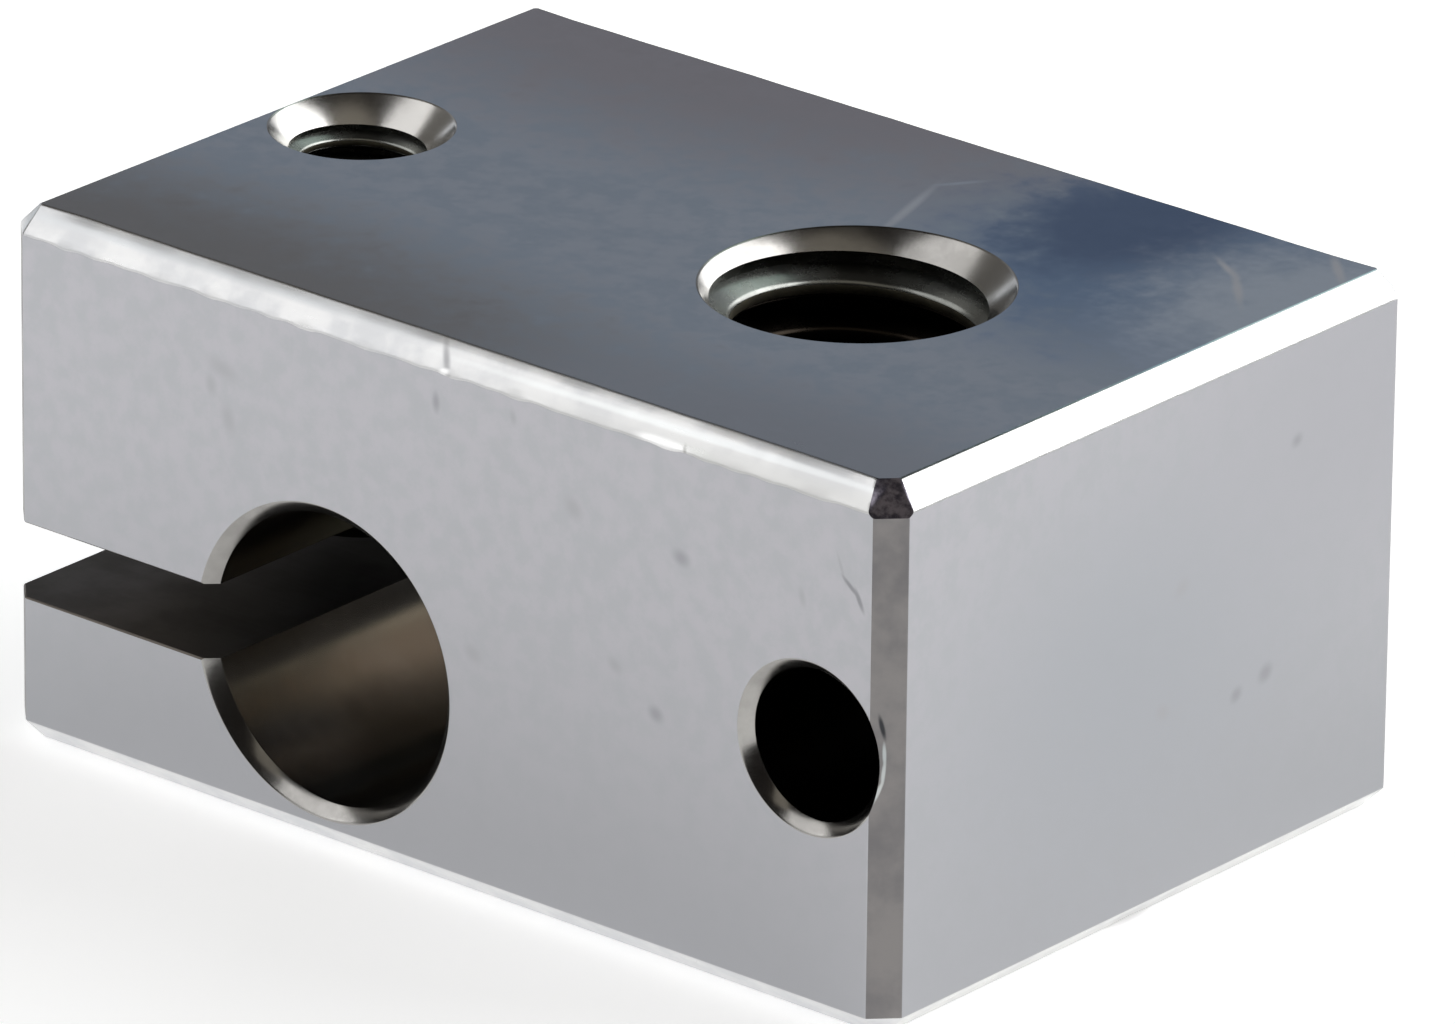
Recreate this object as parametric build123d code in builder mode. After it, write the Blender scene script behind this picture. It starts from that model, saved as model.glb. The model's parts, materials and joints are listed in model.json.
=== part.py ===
from build123d import *
import os

# Heater block: one piece of aluminium bar, milled, drilled, tapped and slit.
# X runs along the block, Y along the two cartridge bores, Z along the big thread.
# The origin is the middle of the underside. Millimetres and degrees.

# The bar, and the flat that is cut on all of its edges
block_length = 23.0
block_width = 16.0
block_height = 11.5
upright_edge_chamfer = 0.5
rim_chamfer = 0.5

# Heater cartridge bore, through the width, near the end that clamps
heater_cartridge_diameter = 6.0
heater_clearance = 0.1
heater_from_clamp_end = 8.5
heater_above_underside = 4.0
heater_mouth_chamfer = 0.27

# Slit from the clamping end into the heater bore, level with its axis
slit_height = 1.6

# Clamp screw: tapped above the slit, clear below it, its head under the block
clamp_screw_diameter = 3.0
clamp_screw_pitch = 0.5
clamp_screw_clearance = 0.2
clamp_screw_from_clamp_end = 2.4
clamp_screw_mouth_chamfer = 0.65
clamp_screw_lower_chamfer = 0.2

# Sensor cartridge bore, through the width, near the plain end
sensor_cartridge_diameter = 3.0
sensor_clearance = 0.1
sensor_from_plain_end = 2.0
sensor_above_underside = 5.75
sensor_mouth_chamfer = 0.24

# Set screw that holds the sensor cartridge, from the underside
set_screw_diameter = 3.0
set_screw_pitch = 0.5
set_screw_mouth_chamfer = 0.4

# Thread for the nozzle below and the heat break above
nozzle_thread_diameter = 6.0
nozzle_thread_pitch = 1.0
nozzle_thread_mouth_chamfer = 0.65
nozzle_from_plain_end = 7.6

# Included angle of the tool that opens every mouth
countersink_angle = 90.0

# Places along the block, measured from its middle
clamp_end = -block_length / 2
plain_end = block_length / 2
heater_x = clamp_end + heater_from_clamp_end
clamp_screw_x = clamp_end + clamp_screw_from_clamp_end
sensor_x = plain_end - sensor_from_plain_end
nozzle_x = plain_end - nozzle_from_plain_end

# Bore radii, and tapping radii as drilled before each thread is cut
heater_bore_radius = (heater_cartridge_diameter + heater_clearance) / 2
sensor_bore_radius = (sensor_cartridge_diameter + sensor_clearance) / 2
nozzle_tapping_radius = (nozzle_thread_diameter - nozzle_thread_pitch) / 2
clamp_screw_tapping_radius = (clamp_screw_diameter - clamp_screw_pitch) / 2
clamp_screw_clear_radius = (clamp_screw_diameter + clamp_screw_clearance) / 2
set_screw_tapping_radius = (set_screw_diameter - set_screw_pitch) / 2

# Where each hole starts: the mouth's middle, and the way out of the block
outwards = {"front": (0, -1, 0), "back": (0, 1, 0), "top": (0, 0, 1), "under": (0, 0, -1)}


def mouth_plane(side, x, height=0.0):
    """The plane of a hole's mouth on one side of the block.

    x is along the block. On the front and back, height is above the underside.
    """
    along_y = {"front": -block_width / 2, "back": block_width / 2}.get(side, 0.0)
    along_z = {"top": block_height, "under": 0.0}.get(side, height)
    return Plane(origin=(x, along_y, along_z), z_dir=outwards[side])


def bore(plane, radius, mouth_chamfer, depth):
    """A drilled hole that starts on plane, its mouth opened by mouth_chamfer."""
    with Locations(plane):
        CounterSinkHole(radius, radius + mouth_chamfer, depth, countersink_angle)


with BuildPart() as heater_block:
    # The bar: its upright edges are cut first, so that the flat round each rim
    # turns every corner as a small facet of its own
    with BuildSketch(Plane.XY):
        Rectangle(block_length, block_width)
    extrude(amount=block_height)
    chamfer(heater_block.edges().filter_by(Axis.Z), length=upright_edge_chamfer)
    chamfer(heater_block.faces().filter_by(Axis.Z).edges(), length=rim_chamfer)

    # Both cartridge bores go right through, with a mouth on each long face
    for side in ("front", "back"):
        heater_mouth = mouth_plane(side, heater_x, heater_above_underside)
        bore(heater_mouth, heater_bore_radius, heater_mouth_chamfer, block_width)
        sensor_mouth = mouth_plane(side, sensor_x, sensor_above_underside)
        bore(sensor_mouth, sensor_bore_radius, sensor_mouth_chamfer, block_width)

    # The slit leaves two jaws that close on the heater cartridge
    with BuildSketch(Plane.XZ):
        with Locations((clamp_end, heater_above_underside)):
            Rectangle(heater_from_clamp_end, slit_height, align=(Align.MIN, Align.CENTER))
    extrude(amount=block_width / 2, both=True, mode=Mode.SUBTRACT)

    # The nozzle thread's hole goes right through, with a mouth at each end
    for side in ("top", "under"):
        nozzle_mouth = mouth_plane(side, nozzle_x)
        bore(nozzle_mouth, nozzle_tapping_radius, nozzle_thread_mouth_chamfer, block_height)

    # The clamp screw's hole: tapped through the upper jaw, clear through the lower
    bore(
        mouth_plane("top", clamp_screw_x),
        clamp_screw_tapping_radius,
        clamp_screw_mouth_chamfer,
        block_height - heater_above_underside,
    )
    bore(
        mouth_plane("under", clamp_screw_x),
        clamp_screw_clear_radius,
        clamp_screw_lower_chamfer,
        heater_above_underside,
    )

    # The set screw's hole rises from the underside into the sensor bore
    bore(
        mouth_plane("under", sensor_x),
        set_screw_tapping_radius,
        set_screw_mouth_chamfer,
        sensor_above_underside,
    )

heater_block.part.label = "heater_block"

os.makedirs("parts", exist_ok=True)
export_step(heater_block.part, "parts/heater_block.step")
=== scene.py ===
"""The looks of a heater block: aluminium bar, milled, drilled, reamed, slit and tapped.

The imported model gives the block's size and the place of every hole. The bar is a vertical
profile carried round its outline. Each hole, slit and thread is the space that its tool
sweeps, worked out as a surface and cut out of the bar, so every cut keeps the finish that
its own tool leaves. Lengths are in millimetres until a mesh is made.
"""

import json
import logging
import math
from dataclasses import dataclass
from enum import Enum
from functools import cache

import bmesh
import bpy
import numpy as np
from mathutils import Matrix, Vector


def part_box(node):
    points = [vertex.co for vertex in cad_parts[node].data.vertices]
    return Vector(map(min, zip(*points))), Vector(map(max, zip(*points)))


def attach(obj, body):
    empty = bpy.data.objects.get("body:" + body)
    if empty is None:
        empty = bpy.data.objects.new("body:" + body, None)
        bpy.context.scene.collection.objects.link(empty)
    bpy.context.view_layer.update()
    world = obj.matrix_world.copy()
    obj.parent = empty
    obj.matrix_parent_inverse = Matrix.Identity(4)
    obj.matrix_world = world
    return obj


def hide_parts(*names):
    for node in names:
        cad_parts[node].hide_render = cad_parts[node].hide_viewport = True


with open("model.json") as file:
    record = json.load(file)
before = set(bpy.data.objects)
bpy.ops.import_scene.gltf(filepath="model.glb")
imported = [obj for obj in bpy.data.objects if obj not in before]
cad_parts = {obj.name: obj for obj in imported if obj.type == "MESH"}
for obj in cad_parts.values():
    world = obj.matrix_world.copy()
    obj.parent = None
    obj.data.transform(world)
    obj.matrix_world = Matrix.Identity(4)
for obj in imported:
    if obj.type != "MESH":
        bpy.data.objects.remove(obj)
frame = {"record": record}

LOG = logging.getLogger("heater_block")
MM = 0.001
NODE = "heater_block"
# Pitches of the M6 and the M3 thread, in millimetres.
COARSE, FINE = 1.0, 0.5
# How far a corner of a flat moves along its side while it moves inwards by one.
MITRE = math.tan(math.radians(22.5))
# A tint's reach, in millimetres, along an axis that it leaves out.
ENDLESS = 900.0
# How the block's mesh is cleaned at the end: edges shorter than SLIVER, in metres, go, faces
# that turn by less than FLAT_ENOUGH are joined and edges that turn by more than SHARP stay so.
SLIVER, FLAT_ENOUGH, SHARP = 1e-7, math.radians(0.05), math.radians(35)

Point = tuple[float, float, float]
Socket = bpy.types.NodeSocket
Tree = bpy.types.NodeTree


class Run(Enum):
    """The way a hole runs. The value rolls a tool's own axes (a, b, along) onto x, y and z."""

    ACROSS = -1
    UPRIGHT = 0


def linear(code: str) -> tuple[float, float, float, float]:
    """Turns an sRGB hex colour into the linear colour that shaders take.

    Args:
        code: six hex digits after a hash sign.

    Returns:
        Red, green, blue and an opacity of 1. Each channel c becomes c / 12.92 up to 0.04045,
        and ((c + 0.055) / 1.055) ** 2.4 above it.
    """
    raw = np.array([int(code[i:i + 2], 16) for i in (1, 3, 5)]) / 255.0
    low, high = raw / 12.92, ((raw + 0.055) / 1.055) ** 2.4
    red, green, blue = np.where(raw <= 0.04045, low, high).tolist()
    return red, green, blue, 1.0


def add_node(tree: Tree, kind: str, inputs: dict | None = None, **settings: object) -> bpy.types.Node:
    """Adds one node to a tree.

    Args:
        tree: the tree that gets the node.
        kind: Blender's name for the node.
        inputs: for a socket's name or place, either its value or the output that feeds it.
        **settings: attributes of the node itself, set before its inputs.

    Returns:
        The new node.
    """
    node = tree.nodes.new(kind)
    for name, value in settings.items():
        setattr(node, name, value)
    for key, value in (inputs or {}).items():
        if isinstance(value, Socket):
            tree.links.new(value, node.inputs[key])
        else:
            node.inputs[key].default_value = value
    return node


def stretched(tree: Tree, place: Socket, size: Point) -> Socket:
    """Divides a place in metres by a size in millimetres, axis by axis."""
    inputs = {"Vector": place, "Scale": tuple(1 / (MM * length) for length in size)}
    return add_node(tree, "ShaderNodeMapping", inputs).outputs["Vector"]


def noise(tree: Tree, place: Socket, width: float, detail: float, rough: float) -> Socket:
    """Gives soft noise from 0 to 1, with patches of one width and finer detail in them."""
    inputs = {"Vector": place, "Scale": 1 / width, "Detail": detail, "Roughness": rough}
    return add_node(tree, "ShaderNodeTexNoise", inputs).outputs["Fac"]


def ramp(
    tree: Tree,
    value: Socket,
    span: tuple[float, float],
    onto: tuple[float, float] = (0.0, 1.0),
    how: str = "SMOOTHSTEP",
) -> Socket:
    """Maps the values in a span onto another span, and those outside it onto its ends."""
    names = ("From Min", "From Max", "To Min", "To Max")
    inputs = {"Value": value, **dict(zip(names, span + onto))}
    return add_node(tree, "ShaderNodeMapRange", inputs, interpolation_type=how).outputs["Result"]


def multiply_add(tree: Tree, value: Socket, factor: float, more: Socket) -> Socket:
    """Gives the output with value times factor, plus more."""
    inputs = {0: value, 1: factor, 2: more}
    return add_node(tree, "ShaderNodeMath", inputs, operation="MULTIPLY_ADD").outputs["Value"]


def blend(tree: Tree, share: Socket, first: object, second: object) -> Socket:
    """Gives the output with the first colour where the share is 0 and the second where it is 1."""
    inputs = {0: share, 6: first, 7: second}
    return add_node(tree, "ShaderNodeMix", inputs, data_type="RGBA").outputs[2]


def rounded(line: np.ndarray, reach: float, steps: int = 2) -> np.ndarray:
    """Rounds the inner corners of an open line, or of a whole row of lines at once.

    A corner P between A and B becomes (1-t)^2 (P + reach a) + 2t(1-t) P + t^2 (P + reach b),
    where a and b are the unit vectors from P to A and to B and t runs from 0 to 1.

    Args:
        line: points x ... x coordinates, with the two ends kept as they are.
        reach: how far from the corners the rounding starts.
        steps: straight pieces in each rounding.

    Returns:
        The line with steps + 1 points in place of each inner corner.
    """
    corner = line[1:-1]
    before = line[:-2] - corner
    after = line[2:] - corner
    before = corner + reach * before / np.linalg.norm(before, axis=-1, keepdims=True)
    after = corner + reach * after / np.linalg.norm(after, axis=-1, keepdims=True)
    t = np.linspace(0.0, 1.0, steps + 1).reshape((1, -1) + (1,) * (line.ndim - 1))
    curve = (1 - t) ** 2 * before[:, None] + 2 * t * (1 - t) * corner[:, None] + t**2 * after[:, None]
    return np.concatenate([line[:1], curve.reshape((-1,) + line.shape[1:]), line[-1:]])


def waver(share: np.ndarray, waves: tuple[int, ...], depth: float, seed: int) -> np.ndarray:
    """Gives the small unevenness of an edge that was broken by hand.

    It is depth times the mean of one sine for each number of waves, each shifted by a phase
    drawn from the seed. The waves are whole, so the edge meets itself.

    Args:
        share: place along the closed edge, from 0 to 1.
        waves: how often each sine repeats.
        depth: the most that the mean can reach.
        seed: fixes the phases.

    Returns:
        The offset at each place.
    """
    phase = np.random.default_rng(seed).uniform(0, 2 * math.pi, len(waves))
    return depth * np.sin(2 * math.pi * share[:, None] * np.array(waves) + phase).mean(axis=1)


def quads(left: np.ndarray, right: np.ndarray) -> list[list[int]]:
    """Joins columns of point numbers to the columns on their right, row by row.

    Args:
        left: rows of point numbers.
        right: as many, each the next one anticlockwise as seen from the last row.

    Returns:
        The faces as lists of four point numbers.
    """
    corners = [left[:-1], right[:-1], right[1:], left[1:]]
    return np.stack(corners, axis=-1).reshape(-1, 4).tolist()


@dataclass
class Surface:
    """A closed surface on a grid: rows run along it and columns run round it.

    Attributes:
        points: rows x columns x 3, in millimetres, columns anticlockwise seen from the last row.
        row_finish: which finish each strip between two rows has.
    """

    points: np.ndarray
    row_finish: np.ndarray

    def mesh(self, name: str, finishes: list[bpy.types.Material]) -> bpy.types.Object:
        """Makes the object, its first and last rows closed by flat caps.

        Args:
            name: the object's name.
            finishes: the materials that row_finish counts in.

        Returns:
            The new object, in metres.
        """
        rows, columns = self.points.shape[:2]
        index = np.arange(rows * columns).reshape(rows, columns)
        caps = [index[0, ::-1].tolist(), index[-1].tolist()]
        faces = quads(index, np.roll(index, -1, axis=1)) + caps
        of_face = np.concatenate([np.repeat(self.row_finish, columns), self.row_finish[[0, -1]]])
        return make_object(name, self.points.reshape(-1, 3), faces, finishes, of_face)


def make_object(
    name: str,
    points: np.ndarray,
    faces: list,
    finishes: list[bpy.types.Material],
    of_face: np.ndarray | None = None,
) -> bpy.types.Object:
    """Puts points and faces into a mesh object at the origin.

    Args:
        name: the object's name.
        points: n x 3, in millimetres.
        faces: lists of point numbers, anticlockwise from outside.
        finishes: the object's materials.
        of_face: the place of each face's material in that list, if it isn't the first for all.

    Returns:
        The object, linked to the scene.
    """
    mesh = bpy.data.meshes.new(name)
    mesh.from_pydata((points * MM).tolist(), [], faces)
    for finish in finishes:
        mesh.materials.append(finish)
    if of_face is not None:
        mesh.polygons.foreach_set("material_index", np.asarray(of_face, dtype=np.int32))
    mesh.update()
    made = bpy.data.objects.new(name, mesh)
    bpy.context.scene.collection.objects.link(made)
    return made


@dataclass(frozen=True)
class Tint:
    """A second colour that takes over inside an ellipsoid, with a cloudy border.

    Attributes:
        colour: the colour inside.
        centre: of the ellipsoid, in millimetres.
        reach: its half lengths along its own x, y and z; a very long one leaves that axis out.
        soft: share of the reach over which the colour fades in and out.
        cloudy: share of the reach by which the clouds move the border.
        turn: its rotation, as Euler angles.
    """

    colour: str
    centre: Point
    reach: Point
    soft: float = 0.15
    cloudy: float = 0.0
    turn: Point = (0.0, 0.0, 0.0)

    def over(self, tree: Tree, place: Socket, cloud: Socket, colour: Socket) -> Socket:
        """Lays the tint over a colour.

        With q for the point turned back and divided by the reach, the share is 1 where
        |q| + cloudy (cloud - 0.5) is under 1 - soft and 0 where it is over 1 + soft.

        Args:
            tree: the material's nodes.
            place: the point in object coordinates.
            cloud: the material's clouds, from 0 to 1.
            colour: the colour that is covered.

        Returns:
            The output with the mixed colour.
        """
        inputs = {
            "Vector": place,
            "Location": tuple(length * MM for length in self.centre),
            "Rotation": self.turn,
            "Scale": tuple(length * MM for length in self.reach),
        }
        own = add_node(tree, "ShaderNodeMapping", inputs, vector_type="TEXTURE").outputs["Vector"]
        far = add_node(tree, "ShaderNodeVectorMath", {0: own}, operation="LENGTH").outputs["Value"]
        moved = multiply_add(tree, cloud, self.cloudy, far)
        border = 1 + self.cloudy / 2
        share = ramp(tree, moved, (border - self.soft, border + self.soft), (1.0, 0.0))
        return blend(tree, share, colour, linear(self.colour))


def mark(start: Point, end: Point, width: float, colour: str, soft: float = 0.6) -> Tint:
    """Gives a thin patch from one point on a face to another, for scratches, dents, painted highlights
    and painted shade.

    Args:
        start, end: where its middle line begins and ends, in millimetres.
        width: of its middle.
        colour: of the patch.
        soft: share of its half width over which it fades.

    Returns:
        The patch.
    """
    way = Vector(end) - Vector(start)
    middle = (Vector(end) + Vector(start)) / 2
    half = width / 2
    turn = way.to_track_quat("X", "Z").to_euler()
    return Tint(colour, tuple(middle), (way.length / 2 + half, half, half), soft, 0.5, tuple(turn))


@dataclass(frozen=True)
class Finish:
    """How one kind of cut leaves aluminium.

    Attributes:
        name: what the surface is.
        colour: its main colour.
        cloud_colour: the colour of the faint patches on it.
        cloud_mm: how wide those patches are.
        roughness: of the metal between its tool marks.
        roughness_spread: how much the patches change it.
        mark_mm: how long one tool mark is along x, y and z.
        mark_depth_um: how deep the tool marks are.
        grain_um: height of the finest unevenness.
        grain_mm: width of that unevenness.
        tints: other colours, each in its own place, some of them painted light and shade; a later one
            covers an earlier one.
    """

    name: str
    colour: str
    cloud_colour: str
    cloud_mm: float
    roughness: float
    roughness_spread: float
    mark_mm: Point
    mark_depth_um: float
    grain_um: float = 0.25
    grain_mm: float = 0.09
    tints: tuple[Tint, ...] = ()

    @cache
    def material(self) -> bpy.types.Material:
        """Makes the material once: bare metal, clouded in colour and gloss, with a bump.

        Returns:
            The material, the same one at each call.
        """
        made = bpy.data.materials.new(self.name)
        made.use_nodes = True
        tree = made.node_tree
        tree.nodes.clear()
        place = add_node(tree, "ShaderNodeTexCoord").outputs["Object"]
        in_mm = stretched(tree, place, (1.0, 1.0, 1.0))
        cloud = noise(tree, in_mm, self.cloud_mm, 4.0, 0.6)
        marks = noise(tree, stretched(tree, place, self.mark_mm), 1.0, 3.0, 0.65)
        grain = noise(tree, in_mm, self.grain_mm, 2.0, 0.5)
        patch = ramp(tree, cloud, (0.35, 0.65))
        colour = blend(tree, patch, linear(self.colour), linear(self.cloud_colour))
        for tint in self.tints:
            colour = tint.over(tree, place, cloud, colour)
        spread = self.roughness_spread
        ends = (self.roughness - spread / 2, self.roughness + spread / 2)
        gloss = ramp(tree, patch, (0.0, 1.0), ends, "LINEAR")
        worn = multiply_add(tree, marks, spread, gloss)
        surface = {"Base Color": colour, "Metallic": 1.0, "Roughness": worn}
        relief = {}
        for height, depth_um in ((grain, self.grain_um), (marks, self.mark_depth_um)):
            inputs = {"Strength": 1.0, "Distance": depth_um * MM * MM, "Height": height, **relief}
            relief = {"Normal": add_node(tree, "ShaderNodeBump", inputs).outputs["Normal"]}
        metal = add_node(tree, "ShaderNodeBsdfPrincipled", surface | relief)
        add_node(tree, "ShaderNodeOutputMaterial", {"Surface": metal.outputs["BSDF"]})
        return made


# What the block has picked up on its long face and its plain end: small, shallow, dull dents
# and one curved scratch. Coordinates are the block's own.
DULL, DULLER, SCRAPED = "#ababaf", "#a0a0a5", "#929296"
FRONT_MARKS = tuple(
    mark((x, -8.0, z), (to_x, -8.0, to_z), width, colour, soft)
    for x, z, to_x, to_z, width, colour, soft in (
        (-5.80, 9.58, -5.48, 9.50, 0.30, DULL, 0.9),
        (-5.95, 9.18, -5.93, 9.05, 0.22, DULL, 0.9),
        (-5.52, 8.62, -5.45, 8.40, 0.28, DULL, 0.9),
        (-0.05, 10.44, -0.04, 10.24, 0.16, DULLER, 0.8),
        (3.45, 9.12, 3.53, 9.04, 0.32, DULL, 0.8),
        (6.20, 8.81, 6.28, 8.78, 0.28, DULLER, 0.8),
        (5.61, 5.38, 5.66, 5.35, 0.26, DULLER, 0.8),
        (0.88, 5.34, 0.98, 5.29, 0.26, DULL, 0.9),
        (4.55, 6.12, 4.62, 6.07, 0.22, DULL, 0.9),
        (1.93, 10.60, 1.95, 10.50, 0.14, DULL, 0.9),
        (9.26, 8.92, 9.30, 8.74, 0.14, DULL, 0.9),
        (10.16, 9.92, 10.33, 9.46, 0.07, DULL, 0.6),
        (10.33, 9.50, 10.62, 9.26, 0.09, SCRAPED, 0.6),
        (10.62, 9.30, 10.77, 9.00, 0.10, SCRAPED, 0.6),
    )
)
END_MARKS = tuple(
    mark((11.5, y, z), (11.5, to_y, to_z), width, colour, soft)
    for y, z, to_y, to_z, width, colour, soft in (
        (3.53, 4.22, 3.60, 4.26, 0.30, DULLER, 0.8),
        (2.63, 4.04, 2.68, 4.07, 0.24, DULLER, 0.9),
        (4.37, 8.91, 4.42, 8.93, 0.22, DULLER, 0.9),
        (0.84, 6.86, 0.92, 6.90, 0.28, DULL, 0.9),
        (0.31, 4.43, 0.38, 4.39, 0.26, DULL, 0.9),
    )
)
# Long faces, ends and underside. An end mill leaves them even and softly matt, clear of
# bright lines: the eye reads a pale grey sheet, which painted shade darkens a little towards the floor.
MILLED = Finish(
    "milled aluminium", "#b7b6bb", "#b2b3b7", 0.45, 0.33, 0.03, (1.6, 1.6, 0.12), 0.25,
    tints=(
        # painted shade: darker towards the bottom, for the shadowed floor near the block that these
        # faces mirror
        Tint("#adaeb2", (0.0, 0.0, -1.0), (ENDLESS, ENDLESS, 5.0), 0.85, 0.3),
        Tint("#acaeb3", (11.5, -0.6, 5.8), (1.5, 4.6, 3.2), 0.90, 1.2),
        Tint("#afafb4", (11.5, 6.6, 9.6), (1.5, 4.4, 3.4), 0.90, 0.8),
        *FRONT_MARKS,
        *END_MARKS,
    ),
)
SCRATCHES = tuple(
    mark((x, y, 11.5), (to_x, to_y, 11.5), width, colour, 0.8)
    for x, y, to_x, to_y, width, colour in (
        (2.37, 2.75, 1.75, 4.75, 0.20, "#f0f4f8"),
        (1.67, 5.23, 2.10, 5.85, 0.14, "#d8e0ea"),
        (8.45, 5.70, 9.10, 5.30, 0.15, "#ffffff"),
        (9.10, 5.35, 10.10, 4.25, 0.17, "#ffffff"),
        (10.05, 7.30, 10.85, 6.50, 0.18, "#ffffff"),
    )
)
# The top is rubbed finer, so it mirrors the dark side of the room. Its colour is painted
# reflection as well: a pale blue-grey band along its middle, warmer along both long edges, a deep blue
# patch over the far corner of the plain end and a lighter one at that end. Light scratches run towards
# the nozzle's hole.
RUBBED = Finish(
    "rubbed aluminium", "#d6dee7", "#cad6e2", 0.7, 0.20, 0.06, (2.4, 0.5, 1.0), 0.30,
    tints=(
        # painted reflection: these six tints stand in for the room that the top mirrors
        Tint("#c6c0c3", (-6.5, 9.8, 11.5), (11.5, 6.4, 9.0), 0.45, 0.7),
        Tint("#aaa7a4", (-7.5, -9.2, 11.5), (12.0, 4.6, 9.0), 0.50, 0.7),
        Tint("#c4c8cf", (8.0, -8.5, 11.5), (6.0, 3.4, 9.0), 0.50, 0.7),
        Tint("#93afd0", (8.9, 5.0, 11.5), (5.3, 4.6, 9.0), 0.45, 1.1),
        Tint("#6e88ad", (6.0, 6.1, 11.5), (2.1, 2.7, 9.0), 0.50, 1.1),
        Tint("#e9f3fc", (11.3, 4.8, 11.5), (3.0, 3.6, 9.0), 0.60, 1.1),
        *SCRATCHES,
    ),
)
# Flats on the long edges, drawn along the block: bright, with streaks that run with the edge.
# The front one carries painted shade along its upper edge at the clamping end, where that edge
# turns over, and a painted highlight streak there towards the other end. It has a dull nick across
# it that ends in a painted glint, and a painted highlight and a dull bruise on its lower edge.
FLAT_ALONG = Finish(
    "filed aluminium, lengthwise", "#dcdcdc", "#d2d3d5", 0.9, 0.28, 0.06, (5.0, 0.05, 0.05), 1.1,
    tints=(
        Tint("#cececd", (11.5, -8.1, 10.9), (10.0, 0.5, 0.5), 0.50, 0.3),
        # painted shade: two grey bands along the turned-over upper edge
        mark((-11.6, -7.68, 11.32), (-7.0, -7.62, 11.38), 0.20, "#d4d6d8", 0.7),
        mark((-9.3, -7.61, 11.39), (-1.0, -7.60, 11.40), 0.22, "#c4c6c8", 0.7),
        # painted highlight: two bright streaks
        mark((1.0, -7.75, 11.25), (9.0, -7.69, 11.31), 0.13, "#e4e6e6", 0.7),
        mark((6.5, -7.70, 11.30), (11.3, -7.67, 11.33), 0.13, "#e0e2e3", 0.7),
        mark((-0.14, -7.60, 11.39), (0.24, -8.0, 11.0), 0.13, "#a9a9ab", 0.8),
        # painted glint at the nick's lower end
        mark((0.09, -7.99, 11.01), (0.18, -7.97, 11.03), 0.12, "#ffffff", 0.8),
        # painted highlight on the lower edge
        mark((5.25, -7.97, 11.03), (6.10, -7.97, 11.03), 0.17, "#ffffff", 0.8),
        mark((6.24, -7.92, 11.08), (6.30, -8.0, 11.0), 0.07, "#b4b4b2", 0.8),
        mark((6.45, -7.93, 11.07), (7.00, -7.97, 11.03), 0.15, "#cfd0ce", 0.9),
    ),
)
# Flats on the short edges, the same but crosswise.
FLAT_ACROSS = Finish(
    "filed aluminium, crosswise", "#dcdcda", "#d4d4d4", 0.9, 0.28, 0.06, (0.05, 5.0, 0.05), 0.9
)
# Flats on the upright edges: a darker, warmer grey, painted shade for the darker floor they mirror.
# Beside the sensor's bore one of them has a painted highlight, a light line by the bore's rim, with a
# painted dark shadow above.
FLAT_UPRIGHT = Finish(
    # painted shade: dark, warm base and cloud colours for the darker floor these flats mirror
    "filed aluminium, upright", "#827f7e", "#757374", 1.2, 0.32, 0.08, (0.08, 0.08, 2.6), 1.0,
    tints=(
        # painted shadow
        mark((11.14, -7.86, 6.78), (11.20, -7.80, 6.42), 0.09, "#3c3d40", 0.5),
        # painted highlight: a light line in three pieces
        mark((11.20, -7.80, 6.22), (11.21, -7.79, 5.85), 0.07, "#b0b5b6", 0.5),
        mark((11.21, -7.79, 5.85), (11.18, -7.82, 5.45), 0.07, "#b6baba", 0.5),
        mark((11.18, -7.82, 5.45), (11.08, -7.92, 5.10), 0.07, "#bcbfbe", 0.5),
    ),
)
# The near corner, touched by the file once more; its dark, blotchy colour is painted shade for the dark
# room above that it mirrors.
CORNER = Finish(
    # painted shade: dark, blotchy colours for the dark room above
    "filed aluminium, corner", "#8a8590", "#4c4852", 0.22, 0.30, 0.10, (0.12, 0.12, 0.5), 1.2
)
# Reamed bores have fine rings and a brown film of cutting oil. Two patches of painted light lie
# low down in the large bore, the one by its mouth the colour of bare metal. The colour is darker along
# the bottom and above the slit, and painted shade darkens a band beside the slit and all through the
# small bore.
REAMED = Finish(
    "reamed aluminium", "#a5a095", "#989389", 1.6, 0.20, 0.05, (2.5, 0.10, 2.5), 0.2,
    tints=(
        # painted light: bright patch low in the large bore
        Tint("#e3d8c8", (-4.9, -3.6, 1.84), (2.0, 2.2, 0.7), 0.80, 0.6),
        Tint("#969590", (0.0, 0.0, 0.2), (ENDLESS, ENDLESS, 1.35), 0.30, 0.1),
        # painted shade: dark band beside the slit
        Tint("#797776", (-6.0, 0.0, 3.35), (4.0, ENDLESS, 0.70), 0.20, 0.1),
        Tint("#6b6158", (-3.0, 0.0, 7.4), (4.0, ENDLESS, 2.8), 0.10, 0.1),
        # painted shade: the small bore darkened all through
        Tint("#34302c", (9.5, 0.0, 5.75), (3.0, 12.0, 3.0), 0.10, 0.1),
        # painted light: patch by the large bore's mouth
        Tint("#d6d8dc", (-4.6, -7.0, 1.2), (1.2, 1.3, 0.6), 0.80, 0.3),
    ),
)
# Countersunk mouths are cut by a sharp tool: a clean mid grey, lighter in the small one.
COUNTERSUNK = Finish(
    "countersunk aluminium", "#a8a6a3", "#9e9c99", 0.8, 0.18, 0.05, (0.5, 0.5, 0.10), 0.2,
    tints=(Tint("#bebcb9", (-9.1, 0.0, 11.5), (2.6, 2.6, 2.6), 0.10, 0.1),),
)
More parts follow.
